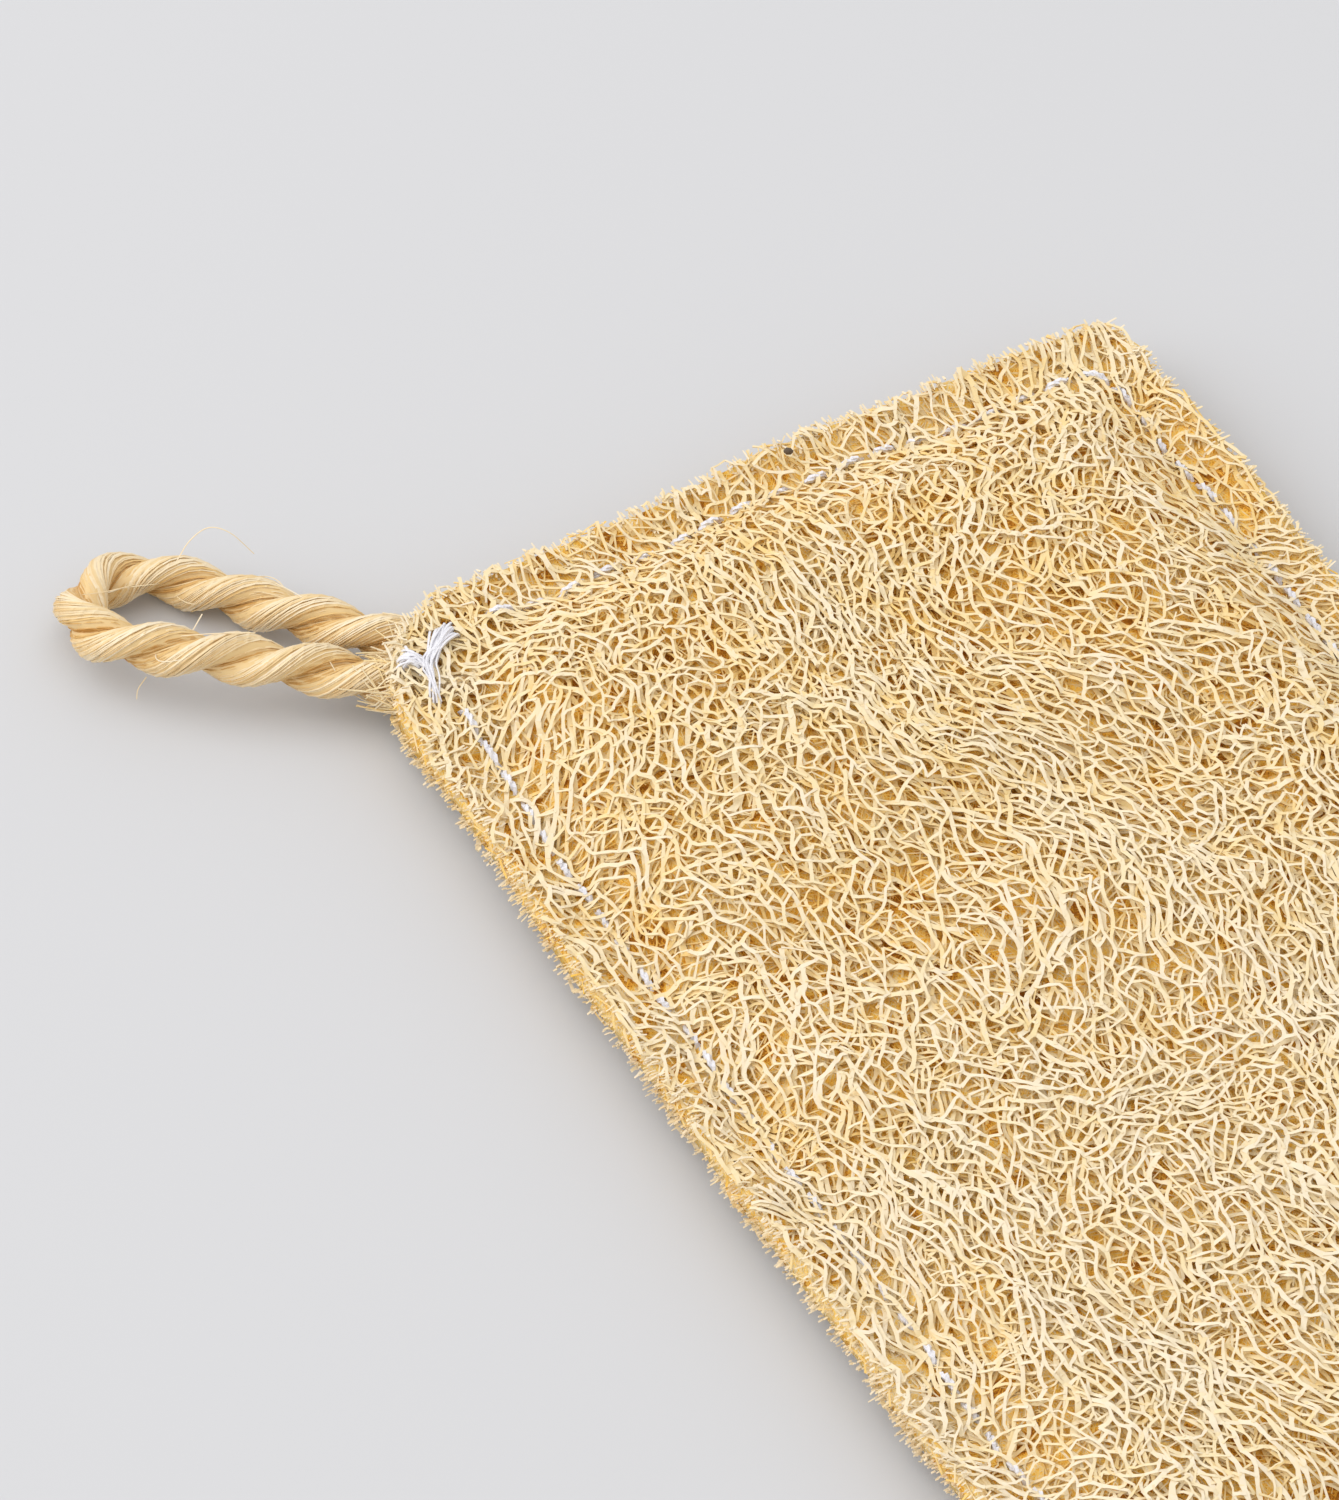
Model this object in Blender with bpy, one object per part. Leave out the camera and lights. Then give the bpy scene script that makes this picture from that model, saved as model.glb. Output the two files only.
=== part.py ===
"""A flat bath pad sewn from two pressed pieces of natural loofah, with a cord loop at one corner.

X runs along the pad, Y across it and Z up. The pad rests on z = 0 and is centred on the origin.
Below, a flat point is a place on the pad before its sides are bowed.
"""
import math
import random

import bmesh
import bpy
from mathutils import Vector
from mathutils.bvhtree import BVHTree
from mathutils.noise import noise

# Driving dimensions in metres
LENGTH = 0.148  # between the corners, before the sides are bowed
WIDTH = 0.0895
END_BOW = 0.002
SIDE_BOW = 0.001
EDGE_WAVE = 0.0006
WAVES_PER_METRE = 30
CORNER_RADIUS = 0.003
LOOP_CORNER_BLUNT = 0.005  # how far the corner is pushed in where the cord leaves it
PLAIN_CORNER_BLUNT = 0.0016
MATING_HEIGHT = 0.005  # where the two pieces of loofah meet
LAYER_GAP = 0.0003
HEM_WIDTH = 0.0038  # from the cut edge to the pressed strip under the seam
STRIP_WIDTH = 0.0022
HEM_HEIGHT = 0.0027  # one layer's, from the mating plane
STRIP_HEIGHT = 0.0019
CROWN_HEIGHT = {"top": 0.0076, "bottom": 0.005}
SHOULDER = 0.009  # how far inside the seam the pad swells steeply
SHOULDER_SHARE = 0.78  # of the swelling
CROWN_REACH = 0.032  # how far inside the seam it still rises gently
PRESSED_FLAT = 1.12  # how much the underside would swell if nothing stopped it
SURFACE_WAVE = 0.0006
SURFACE_WAVES_PER_METRE = 45

# The net of fibre strands, raised over the body of each layer
CELLS = {"top": 240, "bottom": 126}
CELL_STRETCH = 1.5  # the meshes are longer along the pad
CELL_JITTER = 0.34
SHORTEST_STRAND = 0.0009
STRAND_HALF = 0.00055
STRAND_ROUND = 0.0003
PIT_SLOPE = 0.0003
PIT_DEPTH = 0.0023
HEM_PIT_DEPTH = 0.0012
LEAST_SHARE = {"round": 0.45, "pit": 0.28}  # of a small mesh that stays open inside its strands
WEB = 0.0007  # loofah left under a pit
FRAY = 0.0006
STUB = (0.0004, 0.0016)  # cut fibre ends along the hem
STUB_TILT = 0.0004

CORD_DIAMETER = 0.0048
CORD_CLEARANCE = 0.0003
CORNER_COVER = {"top": 0.0009, "bottom": 0.0007}  # loofah over and under the cord's tails
COVER_PIT = 0.0003
COVER_HALF_WIDTH = 0.0066
COVER_BEHIND = 0.002  # past the tails' ends
COVER_FADE = 0.0055
TAIL_LENGTH = 0.015  # inside the corner that the pad would have if it were sharp
THREAD_DIAMETER = 0.0009
THREAD_CLEARANCE = 0.0003
STITCH = 0.004
STITCH_RISE = 0.0003
SEAM_ENDS_APART = 0.0076  # from the loop's corner, under the tack, to each end of the seam
TACK_STEP = 0.0013
TACK_TURN_STEPS = 4

CORD_SIDES = 8
CHANNEL_SIDES = 12
THREAD_SIDES = 4
NET_CORNER_STEPS = 1
SEAM_CORNER_STEPS = 6
ROW_SHIFT = 0.25  # of a cell, one way and the other in turn
NEIGHBOURS = 24  # seeds near enough to bound a cell
ABOVE_THE_PAD = 0.05  # where the search for the surface starts

HALF_LENGTH = LENGTH / 2
HALF_WIDTH = WIDTH / 2
SEAM_INSET = HEM_WIDTH + STRIP_WIDTH / 2
NET_INSET = HEM_WIDTH + STRIP_WIDTH
CORD_RADIUS = CORD_DIAMETER / 2
LOOP_CORNER = Vector((-HALF_LENGTH, -HALF_WIDTH))
OUTWARD = Vector((-0.73, -0.68)).normalized()  # the way the loop points
NEARWARD = Vector((-OUTWARD.y, OUTWARD.x))


def dry_fibre(name, colour, roughness):
    """The matt finish of a dry plant fibre."""
    material = bpy.data.materials.new(name)
    material.use_nodes = True
    shader = material.node_tree.nodes["Principled BSDF"]
    shader.inputs["Base Color"].default_value = (*colour, 1.0)
    shader.inputs["Roughness"].default_value = roughness
    shader.inputs["Metallic"].default_value = 0.0
    return material


def add_object(name, data, material=None):
    """An object that holds a mesh or a curve, in the scene."""
    made = bpy.data.objects.new(name, data)
    if material:
        data.materials.append(material)
    bpy.context.collection.objects.link(made)
    return made


def ease(share):
    """From 0 to 1, steep at first and level at the end."""
    return math.sin(min(max(share, 0.0), 1.0) * math.pi / 2)


def along_loop(flat):
    """How far a flat point lies out along the loop and how far to the loop's near side."""
    away = flat - LOOP_CORNER
    return away.dot(OUTWARD), away.dot(NEARWARD)


def over_tails(flat):
    """1 over the cord's tails, 0 well away from them."""
    out, aside = along_loop(flat)
    beside = (abs(aside) - COVER_HALF_WIDTH) / COVER_FADE
    behind = (-out - TAIL_LENGTH - COVER_BEHIND) / COVER_FADE
    return (1 - ease(beside)) * (1 - ease(behind))


def swell(flat):
    """0 at the seam, 1 in the middle of the pad."""
    total = 1.0
    for half, place in ((HALF_LENGTH, flat.x), (HALF_WIDTH, flat.y)):
        inside = half - NET_INSET - abs(place)
        total *= SHOULDER_SHARE * ease(inside / SHOULDER) + (1 - SHOULDER_SHARE) * ease(inside / CROWN_REACH)
    return total


def layer_height(side, flat):
    """How far the tops of the strands stand from the mating plane."""
    inside = min(HALF_LENGTH - abs(flat.x), HALF_WIDTH - abs(flat.y))
    if inside < HEM_WIDTH:
        height = STRIP_HEIGHT + (HEM_HEIGHT - STRIP_HEIGHT) * ease(1 - inside / HEM_WIDTH)
    else:
        rise = swell(flat)
        crown = CROWN_HEIGHT[side]
        if side == "top":
            crown += SURFACE_WAVE * rise * noise(flat.to_3d() * SURFACE_WAVES_PER_METRE)
            height = STRIP_HEIGHT + (crown - STRIP_HEIGHT) * rise
        else:
            height = min(crown, STRIP_HEIGHT + (crown * PRESSED_FLAT - STRIP_HEIGHT) * rise)
    cover = CORD_RADIUS + CORD_CLEARANCE + CORNER_COVER[side]
    weight = over_tails(flat)
    return height + (max(height, cover) - height) * weight


def blunted(flat):
    """Pushes a flat point in where it lies near a corner, so that the corner ends bluntly."""
    for sx, sy in ((-1, -1), (-1, 1), (1, -1), (1, 1)):
        blunt = LOOP_CORNER_BLUNT if (sx, sy) == (-1, -1) else PLAIN_CORNER_BLUNT
        way = Vector((sx, sy)).normalized()
        out = (flat - Vector((sx * HALF_LENGTH, sy * HALF_WIDTH))).dot(way)
        if out > -2 * blunt:
            share = out / (2 * blunt) + 1
            flat = flat + way * (-2 * blunt + blunt * (1 - (1 - share) ** 2) - out)
    return flat


def bowed(flat):
    """Where a flat point lies once the corners are blunt and the sides bowed and a little wavy."""
    flat = blunted(flat)
    across = 1 + END_BOW / HALF_LENGTH * (1 - (flat.y / HALF_WIDTH) ** 2)
    along = 1 + SIDE_BOW / HALF_WIDTH * (1 - (flat.x / HALF_LENGTH) ** 2)
    wave = flat.to_3d() * WAVES_PER_METRE
    return Vector((
        flat.x * across + EDGE_WAVE * noise(wave),
        flat.y * along + EDGE_WAVE * noise(wave + Vector((0.0, 0.0, 9.0))),
    ))


def clip(polygon, normal, limit):
    """The part of a convex polygon on the inner side of a line."""
    kept = []
    for here, there in zip(polygon, polygon[1:] + polygon[:1]):
        a = here.dot(normal) - limit
        b = there.dot(normal) - limit
        if a <= 0:
            kept.append(here)
        if a * b < 0:
            kept.append(here.lerp(there, a / (a - b)))
    return kept


def rounded_rectangle(half_x, half_y, radius, steps):
    """The corners of a rounded rectangle, anticlockwise."""
    points = []
    for turn, (sx, sy) in enumerate(((1, 1), (-1, 1), (-1, -1), (1, -1))):
        for step in range(steps + 1):
            angle = math.pi / 2 * (turn + step / steps)
            points.append(Vector((
                sx * (half_x - radius) + radius * math.cos(angle),
                sy * (half_y - radius) + radius * math.sin(angle),
            )))
    return points


def net_cells(side, draw):
    """The meshes of the net inside the seam: a Voronoi pattern on a jittered grid, stretched along X."""
    half_x = HALF_LENGTH - NET_INSET
    half_y = HALF_WIDTH - NET_INSET
    border = [Vector((p.x / CELL_STRETCH, p.y))
              for p in rounded_rectangle(half_x, half_y, CORNER_RADIUS, NET_CORNER_STEPS)]
    width = 2 * half_x / CELL_STRETCH
    depth = 2 * half_y
    pitch = math.sqrt(width * depth / CELLS[side])
    columns = round(width / pitch)
    rows = round(depth / pitch)
    seeds = []
    for row in range(rows):
        for column in range(columns):
            shift = ROW_SHIFT if row % 2 else -ROW_SHIFT
            seeds.append(Vector((
                ((column + 0.5 + shift + draw.uniform(-CELL_JITTER, CELL_JITTER)) / columns - 0.5) * width,
                ((row + 0.5 + draw.uniform(-CELL_JITTER, CELL_JITTER)) / rows - 0.5) * depth,
            )))
    cells = []
    for seed in seeds:
        cell = border
        for other in sorted(seeds, key=lambda s: (s - seed).length_squared)[1:NEIGHBOURS]:
            normal = (other - seed).normalized()
            cell = clip(cell, normal, (other + seed).dot(normal) / 2)
        cells.append([Vector((p.x * CELL_STRETCH, p.y)) for p in cell])
    return cells


def sink_cell(bm, level, face, depth):
    """Turns a cell into a pit with rounded strands round it."""
    rim = list(face.verts)
    centre = sum((v.co for v in rim), Vector()) / len(rim)
    reach = min(
        abs((b.co - a.co).normalized().cross(centre - a.co).z)
        for a, b in zip(rim, rim[1:] + rim[:1])
    )
    rings = [rim]
    for part, inset, sunk in (("round", STRAND_HALF, STRAND_ROUND), ("pit", STRAND_HALF + PIT_SLOPE, depth)):
        share = max(1 - inset / reach, LEAST_SHARE[part])
        ring = [bm.verts.new(centre.lerp(v.co, share)) for v in rim]
        for v in ring:
            v[level] = sunk
        rings.append(ring)
    bm.faces.remove(face)
    for outer, inner in zip(rings, rings[1:]):
        for i in range(len(rim)):
            j = (i + 1) % len(rim)
            bm.faces.new((outer[i], outer[j], inner[j], inner[i]))
    bm.faces.new(rings[-1])


def extrude_border(bm):
    """Pulls a new row of faces out of the open edge, and returns its faces and vertices in order round it."""
    border = [e for e in bm.edges if len(e.link_faces) == 1]
    made = bmesh.ops.extrude_edge_only(bm, edges=border)["geom"]
    faces = [g for g in made if isinstance(g, bmesh.types.BMFace)]
    verts = [g for g in made if isinstance(g, bmesh.types.BMVert)]
    faces.sort(key=lambda f: bearing(sum((v.co for v in f.verts), Vector())))
    verts.sort(key=lambda v: bearing(v.co))
    return faces, verts


def bearing(place):
    """The direction of a place from the middle of the pad."""
    return math.atan2(place.y, place.x)


def spread(verts, old_inset, new_inset):
    """Moves flat vertices from one distance inside the edge to another."""
    for v in verts:
        v.co.x *= (HALF_LENGTH - new_inset) / (HALF_LENGTH - old_inset)
        v.co.y *= (HALF_WIDTH - new_inset) / (HALF_WIDTH - old_inset)


def loofah_layer(side, seed, material):
    """One pressed piece of loofah: a raised net, a pressed strip under the seam and a frayed hem."""
    draw = random.Random(seed)
    bm = bmesh.new()
    level = bm.verts.layers.float.new("level")
    for cell in net_cells(side, draw):
        bm.faces.new([bm.verts.new((p.x, p.y, 0.0)) for p in cell])
    bmesh.ops.remove_doubles(bm, verts=bm.verts, dist=SHORTEST_STRAND)
    cells = list(bm.faces)
    _, strip = extrude_border(bm)
    spread(strip, NET_INSET, HEM_WIDTH)
    hem, edge = extrude_border(bm)
    spread(edge, HEM_WIDTH, 0.0)
    for v in edge:
        outward = Vector((v.co.x / HALF_LENGTH ** 2, v.co.y / HALF_WIDTH ** 2, 0.0)).normalized()
        v.co += outward * draw.uniform(-FRAY, FRAY)
    walls, foot = extrude_border(bm)

    middle = min(cells, key=lambda f: f.calc_center_median().length)
    for face in cells:
        if side == "top" or face is not middle:
            sink_cell(bm, level, face, PIT_DEPTH * draw.uniform(0.75, 1.0))
    for face in hem:
        sink_cell(bm, level, face, HEM_PIT_DEPTH * draw.uniform(0.6, 1.0))

    way = 1 if side == "top" else -1
    foot = set(foot)
    for v in bm.verts:
        flat = Vector(v.co.xy)
        height = layer_height(side, flat)
        most = COVER_PIT if over_tails(flat) > 0.0 else height - WEB
        rise = LAYER_GAP / 2 if v in foot else height - min(v[level], most)
        v.co = (*bowed(flat), MATING_HEIGHT + way * rise)
    for face in walls:
        outward = Vector((*face.calc_center_median().xy, 0.0))
        stub = bmesh.ops.poke(bm, faces=[face])["verts"][0]
        stub.co += outward.normalized() * draw.uniform(*STUB)
        stub.co.z += draw.uniform(-STUB_TILT, STUB_TILT)
    bmesh.ops.holes_fill(bm, edges=[e for e in bm.edges if len(e.link_faces) == 1])
    bmesh.ops.recalc_face_normals(bm, faces=bm.faces)
    mesh = bpy.data.meshes.new(f"loofah_{side}_layer")
    bm.to_mesh(mesh)
    bm.free()
    return add_object(mesh.name, mesh, material)


def smooth_route(points, pieces):
    """Points along a smooth curve through the given points."""
    ends = [points[0] * 2 - points[1]] + points + [points[-1] * 2 - points[-2]]
    route = []
    for before, start, end, after in zip(ends, ends[1:], ends[2:], ends[3:]):
        for step in range(pieces):
            t = step / pieces
            route.append(0.5 * (
                2 * start + (end - before) * t
                + (2 * before - 5 * start + 4 * end - after) * t ** 2
                + (3 * start - before - 3 * end + after) * t ** 3
            ))
    return route + [points[-1]]


def tube(name, route, radius, sides, material=None):
    """A round tube along a route, with closed ends."""
    curve = bpy.data.curves.new(name, "CURVE")
    curve.dimensions = "3D"
    curve.bevel_depth = radius
    curve.bevel_resolution = sides // 2 - 2
    curve.render_resolution_u = 0
    curve.use_fill_caps = True
    spline = curve.splines.new("POLY")
    spline.points.add(len(route) - 1)
    for point, place in zip(spline.points, route):
        point.co = (*place, 1.0)
    return add_object(name, curve, material)


def loop_route():
    """The cord's centreline: out of the corner beside itself, down to rest at its bend, and back."""
    # Millimetres out of the corner, towards the near side, and above the surface it rests on
    by_hand = (
        (-15.0, -2.6, 5.0), (-9.5, -2.6, 5.0), (-4.0, -2.7, 5.0), (2.0, -3.2, 4.7), (8.0, -4.2, 3.8),
        (14.0, -5.4, 2.9), (20.5, -6.1, 2.5), (26.0, -5.0, 2.7), (28.6, -0.6, 3.5), (27.0, 4.3, 4.9),
        (21.5, 6.2, 6.0), (15.0, 5.8, 6.5), (8.5, 4.6, 6.1), (2.0, 3.3, 5.4), (-4.0, 2.7, 5.0),
        (-9.5, 2.6, 5.0), (-15.0, 2.6, 5.0),
    )
    points = []
    for out, aside, height in by_hand:
        flat = LOOP_CORNER + (OUTWARD * out + NEARWARD * aside) / 1000
        points.append(Vector((*flat, height / 1000)))
    return points


def cut_tail_channel(layer, number, tail):
    """Cuts the groove that holds one of the cord's tails."""
    radius = (CORD_RADIUS + CORD_CLEARANCE) / math.cos(math.pi / CHANNEL_SIDES)
    start = tail[0] + (tail[0] - tail[1]).normalized() * CORD_CLEARANCE
    name = f"tail_cutter_{number}_{layer.name}"
    drawn = tube(name, [start] + tail[1:], radius, CHANNEL_SIDES)
    bpy.context.view_layer.update()
    mesh = bpy.data.meshes.new_from_object(drawn.evaluated_get(bpy.context.evaluated_depsgraph_get()))
    bpy.data.objects.remove(drawn)
    cutter = add_object(name, mesh)
    cutter.hide_render = True
    cutter.display_type = "WIRE"
    cut = layer.modifiers.new("tail channel", "BOOLEAN")
    cut.operation = "DIFFERENCE"
    cut.solver = "EXACT"
    cut.object = cutter
    return cutter


def surface_of(layer):
    """A search tree of a layer's surface as it stands after its cuts."""
    return BVHTree.FromObject(layer, bpy.context.evaluated_depsgraph_get())


def rest_on(tree, flat, way, lift):
    """A point above (way 1) or below (way -1) a surface at a flat point, clear of it by lift."""
    place = bowed(flat)
    reach = THREAD_DIAMETER * 0.6
    highest = None
    for dx, dy in ((0, 0), (reach, 0), (-reach, 0), (0, reach), (0, -reach)):
        start = Vector((place.x + dx, place.y + dy, MATING_HEIGHT + way * ABOVE_THE_PAD))
        hit = tree.ray_cast(start, Vector((0.0, 0.0, -way)))[0]
        rise = way * (hit.z - MATING_HEIGHT)
        highest = rise if highest is None else max(highest, rise)
    return Vector((place.x, place.y, MATING_HEIGHT + way * (highest + lift)))


def seam_thread(side, layer, material):
    """The running thread on one face: a stitch on the surface, then a dip where it goes through."""
    path = rounded_rectangle(
        HALF_LENGTH - SEAM_INSET, HALF_WIDTH - SEAM_INSET, CORNER_RADIUS, SEAM_CORNER_STEPS,
    )
    at_corner = min(range(len(path)), key=lambda i: (path[i] - LOOP_CORNER).length)
    path = path[at_corner:] + path[:at_corner + 1]
    lengths = [(b - a).length for a, b in zip(path, path[1:])]
    sewn = sum(lengths) - 2 * SEAM_ENDS_APART
    count = 2 * round(sewn / STITCH)
    tree = surface_of(layer)
    way = 1 if side == "top" else -1
    clear = THREAD_CLEARANCE + THREAD_DIAMETER / 2
    route = []
    for number in range(count + 1):
        left = SEAM_ENDS_APART + sewn * number / count
        for a, b, length in zip(path, path[1:], lengths):
            if left <= length:
                break
            left -= length
        lift = clear + (STITCH_RISE if number % 2 else 0.0)
        route.append(rest_on(tree, a.lerp(b, min(left / length, 1.0)), way, lift))
    return tube(f"seam_thread_{side}", route, THREAD_DIAMETER / 2, THREAD_SIDES, material)


def inside_corner(inward, aside):
    """The flat point that lies so many millimetres inside the loop's corner and towards its near side."""
    return LOOP_CORNER + (NEARWARD * aside - OUTWARD * inward) / 1000


def tack_path():
    """The tack's thread seen from above: round the outline of a forked figure, beside itself in each arm."""
    fork = inside_corner(9.7, 1.8)
    ends = [inside_corner(11.4, 5.6), inside_corner(9.0, -2.2), inside_corner(6.2, 1.9)]
    beside = (THREAD_DIAMETER + THREAD_CLEARANCE) / 2
    ways = [(end - fork).normalized() for end in ends]
    crotches = []
    for here, after in zip(ways, ways[1:] + ways[:1]):
        middle = (here + after).normalized()
        crotches.append(fork + middle * beside / abs(middle.cross(here)))
    turns = []
    for number, (end, way) in enumerate(zip(ends, ways)):
        side = crotches[number - 1] - fork
        side = (side - way * side.dot(way)).normalized()
        turns.append([
            end + (side * math.cos(angle) + way * math.sin(angle)) * beside
            for angle in (math.pi * step / TACK_TURN_STEPS for step in range(TACK_TURN_STEPS + 1))
        ])
    foot, head, tip = turns
    return [foot[-1], crotches[0], *head, crotches[1], *tip, crotches[2], foot[0]]


def corner_tack(layer, material):
    """The hand-sewn tack across the cord's tails, in white thread on top of the loofah."""
    tree = surface_of(layer)
    lift = THREAD_CLEARANCE + THREAD_DIAMETER / 2
    path = tack_path()
    route = []
    for a, b in zip(path, path[1:]):
        steps = math.ceil((b - a).length / TACK_STEP)
        route += [rest_on(tree, a.lerp(b, step / steps), 1, lift) for step in range(steps)]
    route.append(rest_on(tree, path[-1], 1, lift))
    return tube("corner_tack_thread", route, THREAD_DIAMETER / 2, THREAD_SIDES, material)


def stand_on_origin(pieces):
    """Moves the pad so that its box, the loop left out, is centred over the origin and stands on z = 0."""
    places = []
    depsgraph = bpy.context.evaluated_depsgraph_get()
    for piece in pieces:
        mesh = piece.evaluated_get(depsgraph).to_mesh()
        places += [piece.matrix_world @ v.co for v in mesh.vertices]
    low = [min(p[axis] for p in places) for axis in range(3)]
    high = [max(p[axis] for p in places) for axis in range(3)]
    return Vector((-(low[0] + high[0]) / 2, -(low[1] + high[1]) / 2, -low[2]))


for old in list(bpy.data.objects):
    bpy.data.objects.remove(old)

loofah = dry_fibre("dry loofah fibre", (0.84, 0.66, 0.38), 0.75)
cord_fibre = dry_fibre("twisted plant fibre cord", (0.82, 0.68, 0.44), 0.7)
cotton = dry_fibre("white cotton thread", (0.86, 0.86, 0.88), 0.8)

top = loofah_layer("top", 11, loofah)
bottom = loofah_layer("bottom", 23, loofah)
cord_points = loop_route()
loop = tube("hanging_loop", smooth_route(cord_points, 2), CORD_RADIUS, CORD_SIDES, cord_fibre)
far_tail = cord_points[:5]
near_tail = cord_points[:-6:-1]
cutters = [
    cut_tail_channel(layer, number, tail)
    for layer in (top, bottom)
    for number, tail in enumerate((far_tail, near_tail), 1)
]
bpy.context.view_layer.update()

threads = [
    seam_thread("top", top, cotton),
    seam_thread("bottom", bottom, cotton),
    corner_tack(top, cotton),
]
bpy.context.view_layer.update()

origin = bpy.data.objects.new("pad_origin", None)
bpy.context.collection.objects.link(origin)
origin.location = stand_on_origin([top, bottom] + threads)
for piece in [top, bottom, loop] + threads + cutters:
    piece.parent = origin
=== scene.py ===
"""The look of a sewn loofah bath pad with a cord loop, lying on a pale surface."""
import math

import bpy
import numpy as np
from mathutils import Matrix, Vector
from mathutils.geometry import delaunay_2d_cdt


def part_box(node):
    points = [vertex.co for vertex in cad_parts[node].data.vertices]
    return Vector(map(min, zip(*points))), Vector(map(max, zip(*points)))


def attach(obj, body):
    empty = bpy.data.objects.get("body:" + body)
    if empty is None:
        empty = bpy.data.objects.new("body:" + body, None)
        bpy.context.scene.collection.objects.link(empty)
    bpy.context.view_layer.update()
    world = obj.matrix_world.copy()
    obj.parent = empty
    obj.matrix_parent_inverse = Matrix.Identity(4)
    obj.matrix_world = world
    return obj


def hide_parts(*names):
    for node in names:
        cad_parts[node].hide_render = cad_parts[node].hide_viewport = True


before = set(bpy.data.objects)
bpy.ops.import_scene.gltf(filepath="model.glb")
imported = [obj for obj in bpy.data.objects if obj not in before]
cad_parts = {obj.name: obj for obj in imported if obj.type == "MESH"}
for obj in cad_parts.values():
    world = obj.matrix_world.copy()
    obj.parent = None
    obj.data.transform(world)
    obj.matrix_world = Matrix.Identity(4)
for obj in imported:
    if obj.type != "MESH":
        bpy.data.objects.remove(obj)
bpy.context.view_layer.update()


# The form of the pad
# Two pieces of a dried loofah gourd are cut open, pressed flat and sewn together inside a hem. The pad swells
# between the seams, is pinched along them, and is pushed in at the corner where the cord comes out.
MM = 0.001
top_low, top_high = (np.array(corner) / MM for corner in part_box("loofah_top_layer"))
bottom_high = np.array(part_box("loofah_bottom_layer")[1]) / MM
FRINGE = 1.3  # how far the cut ends stand out of the edge
END_BOW = 2.0
SIDE_BOW = 1.0
EDGE_WAVE = 0.6
HEM_WIDTH = 3.8
STRIP_WIDTH = 2.2
SHOULDER = 9.0
CROWN_REACH = 32.0
SWELL = 0.6  # height of the upper face's broad hills
VALLEY_PLACE, VALLEY_SLANT = -18.6, -0.135  # where the valley crosses the middle line, and its slope
VALLEY_WIDTH, VALLEY_DEPTH = 6.5, 1.0
TAILS_REACH, TAILS_HALF_WIDTH, TAILS_FADE = 17.0, 6.6, 5.5  # the bump over the cord's tails
LOOP_CORNER_BLUNT, CORNER_BLUNT = 5.0, 1.6
mating_height = (top_low[2] + bottom_high[2]) / 2
crown = {"top": top_high[2] - mating_height, "bottom": mating_height}
half_length = (top_high[0] - top_low[0]) / 2 - FRINGE - END_BOW
half_width = (top_high[1] - top_low[1]) / 2 - FRINGE - SIDE_BOW
seam_inset = HEM_WIDTH + STRIP_WIDTH / 2
net_inset = HEM_WIDTH + STRIP_WIDTH
OUTWARD = np.array((-0.73, -0.68)) / math.hypot(0.73, 0.68)  # the way the loop points
NEARWARD = np.array((-OUTWARD[1], OUTWARD[0]))


def ease(share):
    """From 0 to 1, steep at first and level at the end."""
    return np.sin(np.clip(share, 0, 1) * np.pi / 2)


def waves(u, v, size, seed):
    """A smooth random swell between about -1 and 1, with hills of about the given size in millimetres."""
    draw = np.random.default_rng(seed)
    total = np.zeros(np.shape(u))
    for _ in range(7):
        angle = draw.uniform(0, 2 * np.pi)
        rate = np.pi / size * draw.uniform(0.6, 1.5)
        total += np.sin(rate * (u * np.cos(angle) + v * np.sin(angle)) + draw.uniform(0, 2 * np.pi))
    return total / 2.8


def inside_edge(u, v):
    """How far inside the cut edge a flat point lies."""
    return np.minimum(half_length - np.abs(u), half_width - np.abs(v))


def over_tails(u, v):
    """1 over the cord's tails, 0 well away from them."""
    out = (u + half_length) * OUTWARD[0] + (v + half_width) * OUTWARD[1]
    aside = (u + half_length) * NEARWARD[0] + (v + half_width) * NEARWARD[1]
    beside = 1 - ease((np.abs(aside) - TAILS_HALF_WIDTH) / TAILS_FADE)
    return beside * (1 - ease((-out - TAILS_REACH) / TAILS_FADE))


def layer_height(side, u, v):
    """How far a face of the pad stands from the plane where its two pieces meet."""
    strip, hem = 1.9, 2.7
    inside = inside_edge(u, v)
    rise = np.ones(np.shape(u))
    for half, place in ((half_length, u), (half_width, v)):
        deep = half - net_inset - np.abs(place)
        rise = rise * (0.78 * ease(deep / SHOULDER) + 0.22 * ease(deep / CROWN_REACH))
    if side == "top":
        valley = np.exp(-((u - VALLEY_PLACE - VALLEY_SLANT * v) / VALLEY_WIDTH) ** 2)
        hills = SWELL * waves(u, v, 17, 5) - VALLEY_DEPTH * valley
        swell = strip + (crown[side] - 0.5 + hills * rise - strip) * rise
    else:
        swell = np.minimum(crown[side], strip + (crown[side] * 1.12 - strip) * rise)
    lip = strip + (hem - strip) * ease(1 - inside / HEM_WIDTH)
    height = np.where(inside < HEM_WIDTH, lip, swell)
    cover = 3.6 if side == "top" else 3.4
    return height + (np.maximum(height, cover) - height) * over_tails(u, v)


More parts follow.
